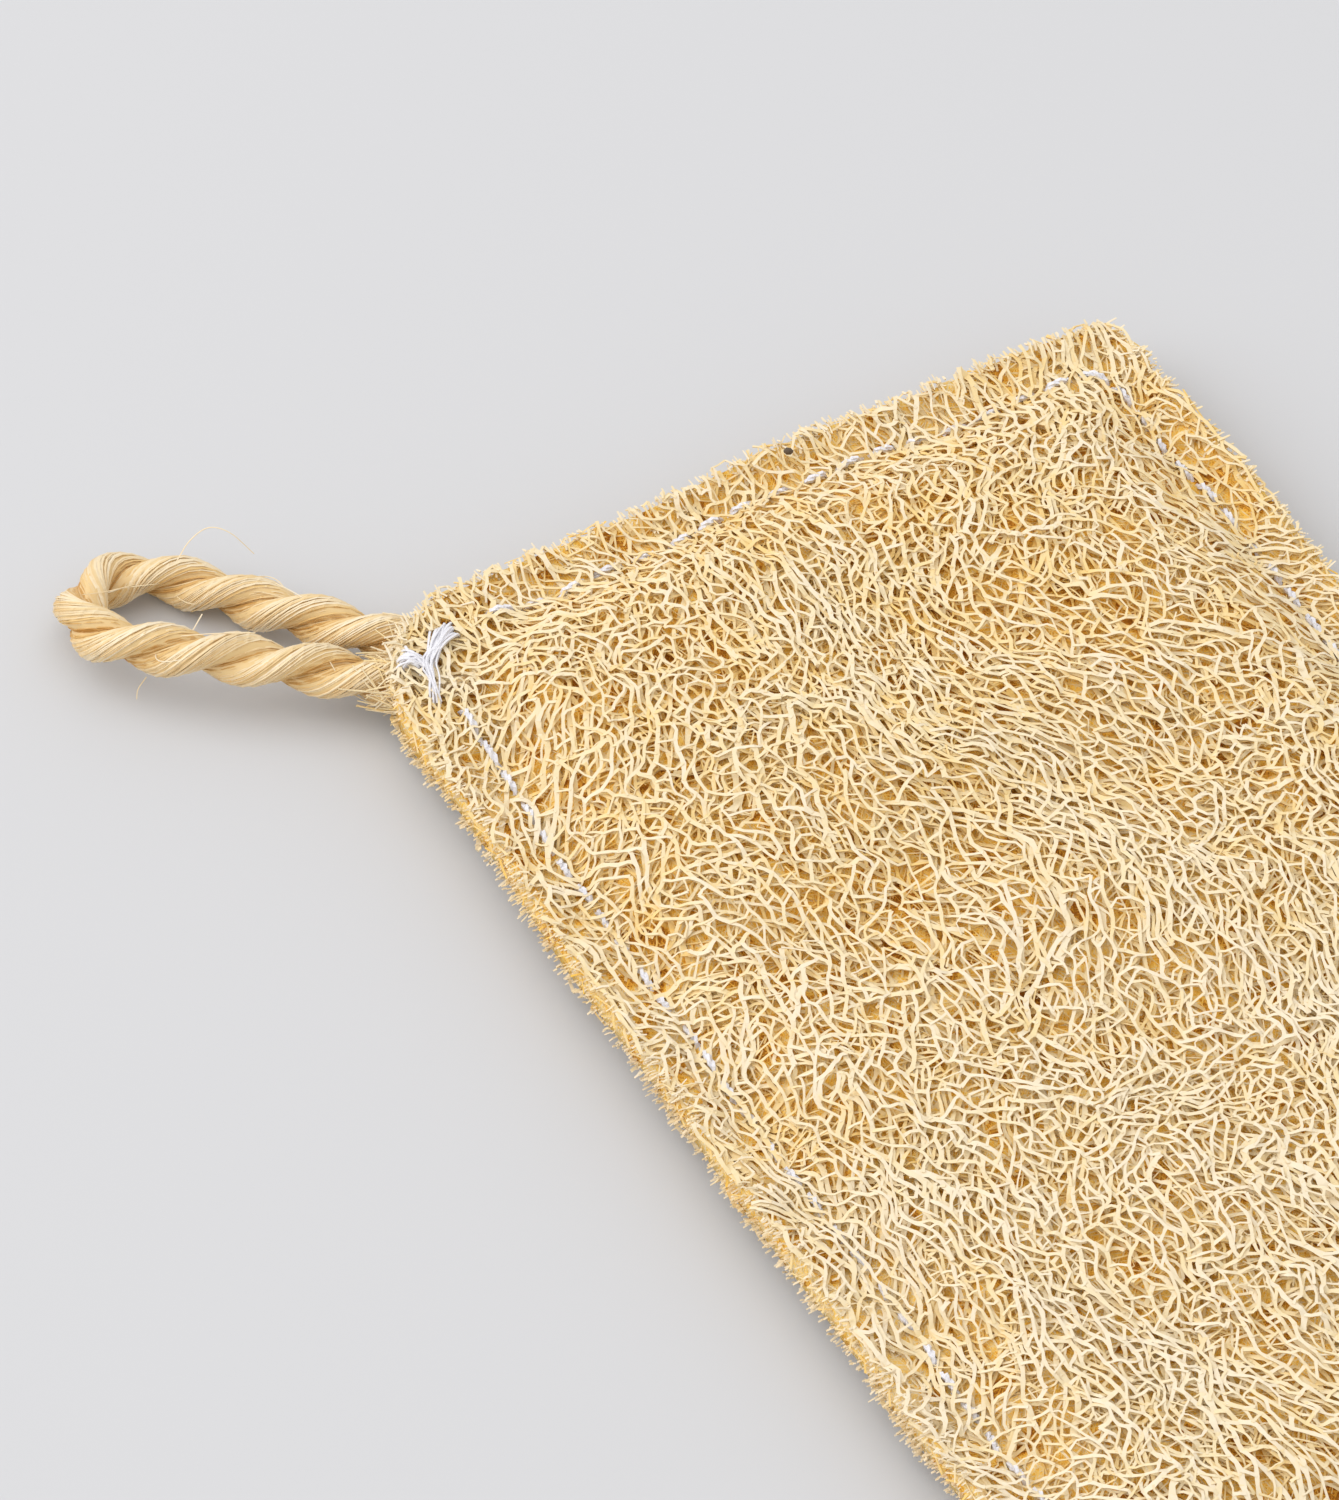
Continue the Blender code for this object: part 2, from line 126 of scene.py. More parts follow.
def laid_out(u, v):
    """Where flat points lie once the corners are blunt and the sides bowed and a little wavy."""
    for sx, sy in ((-1, -1), (-1, 1), (1, -1), (1, 1)):
        blunt = LOOP_CORNER_BLUNT if (sx, sy) == (-1, -1) else CORNER_BLUNT
        out = ((u - sx * half_length) * sx + (v - sy * half_width) * sy) / math.sqrt(2)
        share = np.clip(out / (2 * blunt) + 1, 0, 2)
        back = np.where(share > 0, -2 * blunt + blunt * (1 - (1 - share) ** 2) - out, 0.0)
        u = u + sx * back / math.sqrt(2)
        v = v + sy * back / math.sqrt(2)
    x = u * (1 + END_BOW / half_length * (1 - (v / half_width) ** 2))
    y = v * (1 + SIDE_BOW / half_width * (1 - (u / half_length) ** 2))
    return x + EDGE_WAVE * waves(u, v, 16, 7) * 0.6, y + EDGE_WAVE * waves(u, v, 16, 8) * 0.6


def on_face(side, u, v, sunk):
    """Places in millimetres on a face of the pad, sunk into it by a depth."""
    x, y = laid_out(u, v)
    way = 1 if side == "top" else -1
    return np.stack((x, y, mating_height + way * (layer_height(side, u, v) - sunk)), -1)


# The net of the upper face
# What is left of the dried fruit is a net of stiff fibres, 0.3 to 1 mm thick, that fork and join at acute
# angles. Its outer strands are cream, and the deeper ones are painted golden brown as painted shade.
def lay_net(seed, mesh, stretch, swirl, missing, spare=10.0):
    """One sheet of the net, laid flat: its joints, its strands as runs of joints, and the way through each.

    The strands grow round cells, so the joints are the middles of the triangles between the cells' seeds. At
    each joint the two straightest strands run on into each other and the third one forks off.
    """
    draw = np.random.default_rng(seed)
    wide = 2 * (half_length + spare)
    deep = 2 * (half_width + spare)
    columns = int(wide / (mesh * stretch))
    rows = int(deep / mesh)
    grid = np.stack(np.meshgrid(np.arange(columns), np.arange(rows)), -1).reshape(-1, 2) + 0.5
    grid = (grid + draw.uniform(-0.5, 0.5, grid.shape)) / (columns, rows) - 0.5
    cells = delaunay_2d_cdt([Vector(p) for p in grid * (wide / stretch, deep)], [], [], 0, 1e-6)
    corners = np.array(cells[2])
    joints = np.array([p[:] for p in cells[0]])[corners].mean(axis=1) * (stretch, 1)
    for size, share in ((26, 1.0), (10, 0.22), (5, 0.1)):
        joints = joints + swirl * share * np.stack((
            waves(joints[:, 0], joints[:, 1], size, seed + size),
            waves(joints[:, 0], joints[:, 1], size, seed + size + 1),
        ), -1)
    sides = np.sort(corners[:, [0, 1, 1, 2, 2, 0]].reshape(-1, 2), axis=1)
    owner = np.repeat(np.arange(len(corners)), 3)
    order = np.lexsort(sides.T)
    shared = (sides[order][1:] == sides[order][:-1]).all(axis=1)
    links = np.stack((owner[order][1:][shared], owner[order][:-1][shared]), -1).tolist()

    meets = [[] for _ in joints]
    for a, b in links:
        meets[a].append(b)
        meets[b].append(a)
    onward = {}
    pairs = np.stack((np.arange(len(joints)),) * 2, -1)
    for here, around in enumerate(meets):
        if len(around) == 3:
            ways = joints[around] - joints[here]
            ways /= np.linalg.norm(ways, axis=1)[:, None]
            i, j = min(((0, 1), (0, 2), (1, 2)), key=lambda pair: ways[pair[0]] @ ways[pair[1]])
            onward[here, around[i]] = around[j]
            onward[here, around[j]] = around[i]
            pairs[here] = around[i], around[j]
    for _ in range(2):
        joints = 0.4 * joints + 0.3 * (joints[pairs[:, 0]] + joints[pairs[:, 1]])
    runs_on = joints[pairs[:, 1]] - joints[pairs[:, 0]]
    through = runs_on / (np.linalg.norm(runs_on, axis=1)[:, None] + 1e-9)
    inside = inside_edge(joints[:, 0], joints[:, 1]) > 0
    free = {
        (min(link), max(link)) for link in links
        if inside[link[0]] and inside[link[1]] and draw.random() > missing
    }
    strands = []
    for a, b in links:
        if (min(a, b), max(a, b)) not in free:
            continue
        free.remove((min(a, b), max(a, b)))
        run = [a, b]
        for _ in range(2):
            while True:
                following = onward.get((run[-1], run[-2]))
                link = None if following is None else (min(run[-1], following), max(run[-1], following))
                if link not in free:
                    break
                free.remove(link)
                run.append(following)
            run.reverse()
        strands.append(run)
    return joints, strands, through


def curve_through(controls, steps):
    """Points along a smooth curve through controls, of which the first and last only give it its lead."""
    t = (np.arange(steps) / steps)[:, None]
    p0, p1, p2, p3 = (controls[i:len(controls) - 3 + i, None] for i in range(4))
    curve = 0.5 * (
        2 * p1 + (p2 - p0) * t
        + (2 * p0 - 5 * p1 + 4 * p2 - p3) * t ** 2
        + (3 * p1 - p0 - 3 * p2 + p3) * t ** 3
    )
    return np.concatenate((curve.reshape(-1, controls.shape[1]), controls[-2:-1]))


def sweep(name, runs, radii, sides, marks):
    """One mesh of many fibres with closed ends and a flat face up. Marks are numbers at the runs' points."""
    counts = np.array([len(run) for run in runs])
    places = np.concatenate(runs)
    radius = np.concatenate(radii)
    last = np.cumsum(counts) - 1
    first = last - counts + 1
    ahead = np.roll(places, -1, axis=0)
    ahead[last] = places[last]
    behind = np.roll(places, 1, axis=0)
    behind[first] = places[first]
    along = ahead - behind
    along /= np.linalg.norm(along, axis=1)[:, None] + 1e-12
    steep = np.maximum.reduceat(np.abs(along[:, 2]), first) > 0.9
    upright = np.where(np.repeat(steep, counts)[:, None], (1.0, 0.0, 0.0), (0.0, 0.0, 1.0))
    aside = np.cross(along, upright)
    aside /= np.linalg.norm(aside, axis=1)[:, None] + 1e-12
    over = np.cross(aside, along)
    turn = np.pi / 2 + (np.arange(sides) + 0.5) * 2 * np.pi / sides
    around = np.cos(turn)[:, None] * aside[:, None] + np.sin(turn)[:, None] * over[:, None]
    rings = places[:, None] + radius[:, None, None] * around
    number = np.arange(len(places) * sides).reshape(-1, sides)
    body = np.ones(len(places), bool)
    body[last] = False
    a = number[body]
    b = number[np.flatnonzero(body) + 1]
    quads = np.stack((a, b, np.roll(b, -1, axis=1), np.roll(a, -1, axis=1)), -1).reshape(-1, 4)
    caps = np.concatenate((number[first], number[last][:, ::-1]))
    loops = np.concatenate((quads.ravel(), caps.ravel()))
    starts = np.concatenate((
        np.arange(len(quads)) * 4,
        len(quads) * 4 + np.arange(len(caps)) * sides,
    ))
    mesh = bpy.data.meshes.new(name)
    mesh.vertices.add(rings.shape[0] * sides)
    mesh.vertices.foreach_set("co", (rings * MM).ravel())
    mesh.loops.add(len(loops))
    mesh.loops.foreach_set("vertex_index", loops)
    mesh.polygons.add(len(starts))
    mesh.polygons.foreach_set("loop_start", starts)
    mesh.polygons.foreach_set("use_smooth", np.full(len(starts), sides > 4))
    mesh.update(calc_edges=True)
    for mark, values in marks.items():
        layer = mesh.attributes.new(mark, "FLOAT", "POINT")
        layer.data.foreach_set("value", np.repeat(np.concatenate(values), sides).astype(np.float32))
    piece = bpy.data.objects.new(name, mesh)
    bpy.context.collection.objects.link(piece)
    return piece


def net_piece(name, side, seed, mesh, stretch, swirl, missing, sunk, weave, thickness, steps, sides):
    """A sheet of the net as a mesh on one face of the pad.

    sunk is how deep the sheet lies, weave how far its joints wander up and down, and thickness the middle
    diameter.
    """
    draw = np.random.default_rng(seed + 100)
    joints, strands, through = lay_net(seed, mesh, stretch, swirl, missing)
    offset = draw.uniform(-weave, weave, len(joints))
    runs, radii, tints = [], [], []
    for strand in strands:
        knots = np.column_stack((joints[strand], offset[strand]))
        leads = []
        for end, following in ((0, 1), (-1, -2)):
            way = knots[following] - knots[end]
            fork = through[strand[end]]
            fork = np.append(fork * math.copysign(1.0, fork @ way[:2]), 0.0)
            leads.append(knots[following] - 1.7 * np.linalg.norm(way[:2]) * fork)
        flat = curve_through(np.vstack((leads[0], knots, leads[1])), steps)
        phase = np.arange(len(flat)) / steps
        base = thickness / 2 * draw.lognormal(0, 0.24) * (0.78 + 0.06 * min(len(strand), 7))
        webbed = 1 + 0.14 * np.cos(2 * np.pi * phase)
        runs.append(flat)
        radii.append(base * webbed * (1 + 0.12 * np.sin(phase * 1.3 + draw.uniform(0, 6))))
        tints.append(np.full(len(flat), draw.random()))
    flat = np.concatenate(runs)
    flat[:, 0] += 0.3 * waves(flat[:, 0], flat[:, 1], 2.6, seed + 3)
    flat[:, 1] += 0.3 * waves(flat[:, 0], flat[:, 1], 2.6, seed + 4)
    deep = sunk - flat[:, 2] + 0.25 * waves(flat[:, 0], flat[:, 1], 3.5, seed + 5)
    radius = np.concatenate(radii)
    places = on_face(side, flat[:, 0], flat[:, 1], np.maximum(deep, -0.2) + radius)
    cuts = np.cumsum([len(run) for run in runs])[:-1]
    # The depth marks paint the deeper strands golden brown, as painted shade
    return sweep(name, np.split(places, cuts), radii, sides, {"depth": np.split(deep, cuts), "tint": tints})


def add_node(tree, kind, settings=None, links=None):
    """Adds a node, with its properties or input values set and its inputs linked."""
    node = tree.nodes.new(kind)
    for key, value in (settings or {}).items():
        if isinstance(key, str) and hasattr(node, key):
            setattr(node, key, value)
        else:
            node.inputs[key].default_value = value
    for key, source in (links or {}).items():
        tree.links.new(source, node.inputs[key])
    return node


def linear(code, alpha=1.0):
    """The linear colour of an sRGB hex code."""
    parts = [int(code[i:i + 2], 16) / 255 for i in (0, 2, 4)]
    return (*[p / 12.92 if p <= 0.04045 else ((p + 0.055) / 1.055) ** 2.4 for p in parts], alpha)


def set_ramp(node, stops):
    """Gives a colour ramp its stops, as places and sRGB hex codes."""
    elements = node.color_ramp.elements
    while len(elements) < len(stops):
        elements.new(0.5)
    for element, (place, code) in zip(elements, stops):
        element.position = place
        element.color = linear(code)


def loofah_fibre(name, felted):
    """Dried loofah fibre: matt, faintly waxy, cream, and painted golden brown with depth as painted shade."""
    material = bpy.data.materials.new(name)
    material.use_nodes = True
    tree = material.node_tree
    shader = tree.nodes["Principled BSDF"]
    depth = add_node(tree, "ShaderNodeAttribute", {"attribute_name": "depth"})
    tint = add_node(tree, "ShaderNodeAttribute", {"attribute_name": "tint"})
    place = add_node(tree, "ShaderNodeTexCoord")
    # Patches of darker fibre about 12 mm across
    patch = add_node(tree, "ShaderNodeTexNoise", {"Scale": 1 / (12 * MM), "Detail": 3.0}, {
        "Vector": place.outputs["Object"],
    })
    uneven = add_node(tree, "ShaderNodeMath", {"operation": "MULTIPLY_ADD", 1: 1.1, 2: -0.55}, {
        0: tint.outputs["Fac"],
    })
    patchy = add_node(tree, "ShaderNodeMath", {"operation": "MULTIPLY_ADD", 1: 1.6, 2: -0.8}, {
        0: patch.outputs["Fac"],
    })
    mixed = add_node(tree, "ShaderNodeMath", {"operation": "ADD"}, {
        0: uneven.outputs[0], 1: patchy.outputs[0],
    })
    sunk = add_node(tree, "ShaderNodeMath", {"operation": "ADD"}, {
        0: depth.outputs["Fac"], 1: mixed.outputs[0],
    })
    # Painted light: the end away from the loop is painted paler, as a broad pool of light
    apart = add_node(tree, "ShaderNodeSeparateXYZ", None, {0: place.outputs["Object"]})
    paler = add_node(tree, "ShaderNodeMapRange", {
        "From Min": -45 * MM, "From Max": 10 * MM, "To Max": -0.5,
    }, {"Value": apart.outputs["X"]})
    sunk = add_node(tree, "ShaderNodeMath", {"operation": "ADD"}, {0: sunk.outputs[0], 1: paler.outputs[0]})
    # The fibres' fine lengthwise grain, drawn at 0.25 mm so that it shows
    grain = add_node(tree, "ShaderNodeTexNoise", {"Scale": 1 / (0.25 * MM)}, {
        "Vector": place.outputs["Object"],
    })
    if felted:
        # Hair-fine fibres, 0.17 mm thick and some 2 mm long, that cross in three directions
        for angle in (10, 70, -42):
            turned = add_node(tree, "ShaderNodeMapping", {
                "vector_type": "TEXTURE",
                "Rotation": (0.0, 0.0, math.radians(angle)),
                "Scale": (2.0 * MM, 0.17 * MM, 0.4 * MM),
            }, {"Vector": place.outputs["Object"]})
            lines = add_node(tree, "ShaderNodeTexNoise", {"Scale": 1.0, "Detail": 1.0, "Distortion": 0.5}, {
                "Vector": turned.outputs["Vector"],
            })
            higher = {0: lines.outputs["Fac"], 1: lines.outputs["Fac"] if angle == 10 else grain.outputs[0]}
            grain = add_node(tree, "ShaderNodeMath", {"operation": "MAXIMUM"}, higher)
        # Painted shade: the gaps between the hair-fine fibres are painted deeper and darker than the fibres
        fibre_gap_shade = add_node(tree, "ShaderNodeMath", {"operation": "MULTIPLY_ADD", 1: -11.0, 2: 7.0}, {
            0: grain.outputs[0],
        })
        # Painted shade of deep holes: dark brown spots, some 1.5 mm long and 3.5 mm apart
        hole_shade_noise = add_node(tree, "ShaderNodeTexNoise", {"Scale": 1 / (3.5 * MM), "Detail": 1.0}, {
            "Vector": place.outputs["Object"],
        })
        painted_hole_shade = add_node(tree, "ShaderNodeMapRange", {
            "From Min": 0.56, "From Max": 0.66, "To Max": 2.0,
        }, {"Value": hole_shade_noise.outputs["Fac"]})
        sunk = add_node(tree, "ShaderNodeMath", {"operation": "ADD"}, {0: sunk.outputs[0], 1: fibre_gap_shade.outputs[0]})
        sunk = add_node(tree, "ShaderNodeMath", {"operation": "ADD"}, {
            0: sunk.outputs[0], 1: painted_hole_shade.outputs[0],
        })
    # Painted shade: the deeper a fibre is marked, the more golden brown the ramp paints it, darkest brown in
    # the painted holes
    share = add_node(tree, "ShaderNodeMapRange", {"From Min": -0.8, "From Max": 4.2}, {
        "Value": sunk.outputs[0],
    })
    ramp = add_node(tree, "ShaderNodeValToRGB", None, {"Fac": share.outputs["Result"]})
    set_ramp(ramp, (
        (0.0, "F0E1C5"), (0.2, "EFDBB0"), (0.4, "F1D088"), (0.6, "F7C858"), (0.8, "EDAC3A"), (1.0, "B0701E"),
    ))
    relief = 0.4 * MM if felted else 0.05 * MM
    bump = add_node(tree, "ShaderNodeBump", {"Strength": 0.5, "Distance": relief}, {
        "Height": grain.outputs[0],
    })
    tree.links.new(ramp.outputs["Color"], shader.inputs["Base Color"])
    tree.links.new(bump.outputs["Normal"], shader.inputs["Normal"])
    shader.inputs["Roughness"].default_value = 0.75
    shader.inputs["IOR"].default_value = 1.3
    return material


dried_loofah = loofah_fibre("dried loofah fibre", False)


def dress(piece, material, slot, *nodes):
    """Gives a piece its finish and has it stand for nodes of the frame."""
    piece.data.materials.append(material)
    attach(piece, "root")
    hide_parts(*nodes)
    return piece


# name, seed, mesh, stretch, swirl, missing, sunk, weave, thickness, steps, sides
for sheet in (
    ("upper_net_outer", 110, 1.38, 1.6, 3.3, 0.03, 0.12, 0.3, 0.38, 2, 3),
    ("upper_net_second", 210, 1.48, 1.5, 3.3, 0.03, 0.5, 0.35, 0.35, 2, 3),
    ("upper_net_third", 310, 1.8, 1.5, 4.0, 0.04, 0.95, 0.35, 0.36, 2, 3),
):
    name, seed, *shape = sheet
    dress(net_piece(name, "top", seed, *shape), dried_loofah, "loofah", "loofah_top_layer")


# The net of the underside
# The second piece of gourd has its outer side down. The pad rests on it, so it is pressed flatter than the
# upper one.
for sheet in (
    ("lower_net_outer", 610, 2.4, 1.9, 4.5, 0.08, 0.1, 0.3, 0.42, 2, 3),
    ("lower_net_second", 710, 2.3, 1.8, 4.5, 0.1, 0.7, 0.4, 0.4, 2, 3),
):
    name, seed, *shape = sheet
    dress(net_piece(name, "bottom", seed, *shape), dried_loofah, "loofah", "loofah_bottom_layer")


# The felted fibres
# Under its strong strands each piece of gourd is filled with hair-fine fibres. They lie matted in all
# directions and hold the strands together.
def felt_fibres(side, seed, count, sides):
    """Short thin arcs that lie among and under the strands."""
    draw = np.random.default_rng(seed)
    u = draw.uniform(-half_length, half_length, count)
    v = draw.uniform(-half_width, half_width, count)
    angle = draw.normal(0, 0.9, count) + 0.5 * waves(u, v, 9, seed)
    reach = draw.uniform(0.9, 2.6, count)
    bend = draw.normal(0, 0.45, count)
    tilt = draw.normal(0, 0.25, count)
    top = draw.uniform(0.5, 1.7, count)
    along = np.array((-1.0, 0.0, 1.0))
    across = np.array((1.0, 0.0, 1.0))
    way_u, way_v = np.cos(angle)[:, None], np.sin(angle)[:, None]
    bent = across * bend[:, None]
    u = u[:, None] + reach[:, None] * (along * way_u - bent * way_v)
    v = v[:, None] + reach[:, None] * (along * way_v + bent * way_u)
    sunk = top[:, None] + 0.35 * across + along * tilt[:, None]
    u = np.clip(u, -half_length - 0.4, half_length + 0.4)
    v = np.clip(v, -half_width - 0.4, half_width + 0.4)
    places = on_face(side, u, v, np.minimum(sunk, layer_height(side, u, v) * 0.7))
    radii = draw.uniform(0.06, 0.13, count)[:, None] * np.ones(3)
    tints = draw.random(count)[:, None] * np.ones(3)
    # The depth marks paint the deeper fibres golden, as painted shade
    marks = {"depth": list(sunk), "tint": list(tints)}
    return sweep(f"felt_fibres_{side}", list(places), list(radii), sides, marks)


dress(felt_fibres("top", 91, 8000, 3), dried_loofah, "loofah", "loofah_top_layer")


# The matted middle
# Under the nets the pressed fibres are too dense to see through. This body is the felt that the eye meets
# between the strands.
def matted_middle():
    """A closed body that follows both faces under their nets."""
    columns, rows = 150, 92
    inset = 0.6
    u, v = np.meshgrid(
        np.linspace(-half_length + inset, half_length - inset, columns),
        np.linspace(-half_width + inset, half_width - inset, rows),
    )
    sheets, depths = [], []
    for side in ("top", "bottom"):
        share = 0.32 + 0.23 * ease(inside_edge(u, v) / 4.5)
        sunk = np.minimum(1.6 + 0.3 * waves(u, v, 2.2, 31), layer_height(side, u, v) * share)
        sheets.append(on_face(side, u, v, sunk).reshape(-1, 3))
        # The depth marks paint the felt golden as painted shade, a little darker along its rim
        depths.append((sunk + 0.4 * (1 - ease(inside_edge(u, v) / 1.2))).ravel())
    number = np.arange(rows * columns).reshape(rows, columns)
    a, b, c, d = number[:-1, :-1], number[:-1, 1:], number[1:, 1:], number[1:, :-1]
    upper = np.stack((a, b, c, d), -1).reshape(-1, 4)
    lower = upper[:, ::-1] + rows * columns
    rim = np.concatenate((number[0], number[1:, -1], number[-1, -2::-1], number[-2:0:-1, 0]))
    after = np.roll(rim, -1)
    wall = np.stack((rim, rim + rows * columns, after + rows * columns, after), -1)
    mesh = bpy.data.meshes.new("matted_middle")
    faces = np.concatenate((upper, lower, wall))
    mesh.from_pydata((np.concatenate(sheets) * MM).tolist(), [], faces.tolist())
    for mark, values in (("depth", np.concatenate(depths)), ("tint", np.full(2 * rows * columns, 0.5))):
        layer = mesh.attributes.new(mark, "FLOAT", "POINT")
        layer.data.foreach_set("value", values.astype(np.float32))
    mesh.shade_smooth()
    piece = bpy.data.objects.new("matted_middle", mesh)
    bpy.context.collection.objects.link(piece)
    return piece


matted_loofah = loofah_fibre("matted loofah fibre", True)
dress(matted_middle(), matted_loofah, "loofah", "loofah_top_layer", "loofah_bottom_layer")


# The cut hem
# The pad is cut out with a blade after pressing, so every fibre that reaches the edge ends in a short frayed
# stub.
def hem_stubs():
    """Short cut fibre ends all round the edge of both layers."""
    draw = np.random.default_rng(41)
    count = 8500
    around = draw.uniform(0, 4 * (half_length + half_width), count)
    u = np.empty(count)
    v = np.empty(count)
    out_u = np.zeros(count)
    out_v = np.zeros(count)
    length, width = 2 * half_length, 2 * half_width
    edges = ((0, length), (length, width), (length + width, length), (2 * length + width, width))
    for side, (start, span) in enumerate(edges):
        here = (around >= start) & (around < start + span)
        along = around[here] - start
        if side % 2 == 0:
            way = -1 if side == 0 else 1
            u[here], v[here], out_v[here] = along - half_length, way * half_width, way
        else:
            way = 1 if side == 1 else -1
            u[here], v[here], out_u[here] = way * half_length, along - half_width, way
    sunk = draw.uniform(0.0, 2.6, count)
    start = draw.uniform(0.2, 1.6, count) * draw.choice((1.0, 1.0, 2.5), count)
    reach = draw.uniform(-0.1, 0.45, count) + 0.25 * waves(u, v, 1.7, 42)
    slant = draw.normal(0, 1.0, count)
    lift = draw.normal(0, 0.45, count)
    upper = draw.random(count) < 0.5
    thick = draw.uniform(0.08, 0.16, count)
    tint = draw.random(count)
    runs, radii, depths, tints = [], [], [], []
    for i in range(count):
        side = "top" if upper[i] else "bottom"
        root = on_face(side, u[i] - out_u[i] * start[i], v[i] - out_v[i] * start[i], sunk[i])
        way = np.array((out_u[i] - slant[i] * out_v[i], out_v[i] + slant[i] * out_u[i], lift[i]))
        way /= np.linalg.norm(way)
        share = np.linspace(0, 1, 3)[:, None]
        bend = np.array((slant[i] * out_v[i], -slant[i] * out_u[i], -0.3 * lift[i])) * share ** 2 * 0.5
        reached = min(start[i], 1.6) + reach[i]
        runs.append(root + (way * share + bend) * reached)
        radii.append(thick[i] * np.array((1.0, 1.0, 0.75)))
        # Stubs that leave the edge lower down are marked deeper and painted more golden, as painted shade
        depths.append(np.full(3, sunk[i] * 0.25 - 0.4))
        tints.append(np.full(3, tint[i]))
    return sweep("hem_stubs", runs, radii, 3, {"depth": depths, "tint": tints})


dress(hem_stubs(), dried_loofah, "loofah", "loofah_top_layer", "loofah_bottom_layer")


# The dark fleck
# A bit of the gourd's seed coat, hard, thin and dull brown, that stayed caught among the fibres of the far
# hem when the seeds were shaken out.
fleck_place = np.array((-73.4, 5.6, top_high[2] - 4.6))
fleck = sweep("dark_fleck", [fleck_place + np.outer((-0.5, -0.2, 0.25, 0.5), (0.6, 0.75, 0.1))],
              [np.array((0.15, 0.4, 0.36, 0.12))], 6, {})
seed_coat = bpy.data.materials.new("brown seed coat")
seed_coat.use_nodes = True
seed_coat.node_tree.nodes["Principled BSDF"].inputs["Base Color"].default_value = linear("5A4A38")
seed_coat.node_tree.nodes["Principled BSDF"].inputs["Roughness"].default_value = 0.7
dress(fleck, seed_coat, "loofah", "loofah_top_layer")


# The hanging loop
# A cord of two plies of plant fibre, laid together. Both ends are caught between the two layers under the
# corner tack, and the bend rests on the surface.
CORD_DIAMETER = 4.8
LAY = 16.0  # length of one turn of a ply round the cord
CORD_STEPS = 6  # between two points of the route
FIBRES = 60  # over each ply
corner = np.array((-74.1, -44.66))  # of the pad, where the loop comes out
# Millimetres out of the corner, towards the near side, and above the surface
CORD_ROUTE = (
    (-15.0, -2.6, 5.0), (-9.5, -2.6, 5.0), (-4.0, -2.7, 5.0), (2.0, -3.2, 4.7), (8.0, -4.2, 3.8),
    (14.0, -5.4, 2.9), (20.5, -6.1, 2.5), (26.0, -5.0, 2.7), (28.6, -0.6, 3.5), (27.0, 4.3, 4.9),
    (21.5, 6.2, 6.0), (15.0, 5.8, 6.5), (8.5, 4.6, 6.1), (2.0, 3.3, 5.4), (-4.0, 2.7, 5.0),
    (-9.5, 2.6, 5.0), (-15.0, 2.6, 5.0),
)


def from_corner(points):
    """Places in millimetres for points given as the cord's route is."""
    return np.array([(*(corner + OUTWARD * out + NEARWARD * aside), height) for out, aside, height in points])


knots = from_corner(CORD_ROUTE)
cord_line = curve_through(np.vstack((2 * knots[0] - knots[1], knots, 2 * knots[-1] - knots[-2])), CORD_STEPS)


def frames_along(line):
    """Two directions square to a line at each of its points, carried along it without twisting."""
    along = np.gradient(line, axis=0)
    along /= np.linalg.norm(along, axis=1)[:, None]
    first = np.cross(along[0], (0.0, 0.0, 1.0))
    carried = [first / np.linalg.norm(first)]
    for way in along[1:]:
        turned = carried[-1] - way * (carried[-1] @ way)
        carried.append(turned / np.linalg.norm(turned))
    one = np.array(carried)
    return one, np.cross(along, one)


def twisted_cord():
    """Each ply is a core with fibres laid over it, and the plies turn round each other."""
    draw = np.random.default_rng(51)
    one, two = frames_along(cord_line)
    travelled = np.append(0, np.cumsum(np.linalg.norm(np.diff(cord_line, axis=0), axis=1)))
    ply_radius = 1.72
    ply_offset = 1.12
    runs, radii, depths, tints, cores = [], [], [], [], []
    for ply in range(2):
        turn = -2 * np.pi * travelled / LAY + np.pi * ply + 0.6
        outward = np.cos(turn)[:, None] * one + np.sin(turn)[:, None] * two
        sideways = np.cross(np.gradient(cord_line, axis=0), outward)
        sideways /= np.linalg.norm(sideways, axis=1)[:, None]
        middle = cord_line + ply_offset * outward
        middle[:, 2] = np.maximum(middle[:, 2], ply_radius)
        cores.append(middle)
        for number in range(FIBRES):
            place = 2 * np.pi * number / FIBRES + draw.normal(0, 0.05)
            drift = place + 0.5 * np.sin(travelled / draw.uniform(9, 16) + draw.uniform(0, 6)) * 0.35
            level = ply_radius - 0.15 + 0.06 * np.sin(travelled / draw.uniform(3, 8) + draw.uniform(0, 6))
            fibre = middle + level[:, None] * (
                np.cos(drift)[:, None] * outward + np.sin(drift)[:, None] * sideways
            )
            fibre[:, 2] = np.maximum(fibre[:, 2], 0.15)
            runs.append(fibre)
            radii.append(np.full(len(fibre), draw.uniform(0.09, 0.15)))
            # Painted shade: fibres on the inner side of a ply, where the plies meet, are marked deeper and
            # painted golden
            depths.append(0.3 + 0.9 * np.clip(0.6 - np.cos(drift), 0, 1.6))
            tints.append(np.full(len(fibre), draw.random()))
    flesh = [np.full(len(core), ply_radius - 0.2) for core in cores]
    # Painted shade: the cores show in the gaps between the fibres and are marked deeper, so they are painted
    # golden
    marks = {
        "depth": [np.ones(len(core)) for core in cores],
        "tint": [np.full(len(core), 0.5) for core in cores],
    }
    fibres = sweep("twisted_cord", runs, radii, 3, {"depth": depths, "tint": tints})
    return fibres, sweep("cord_cores", cores, flesh, 9, marks)


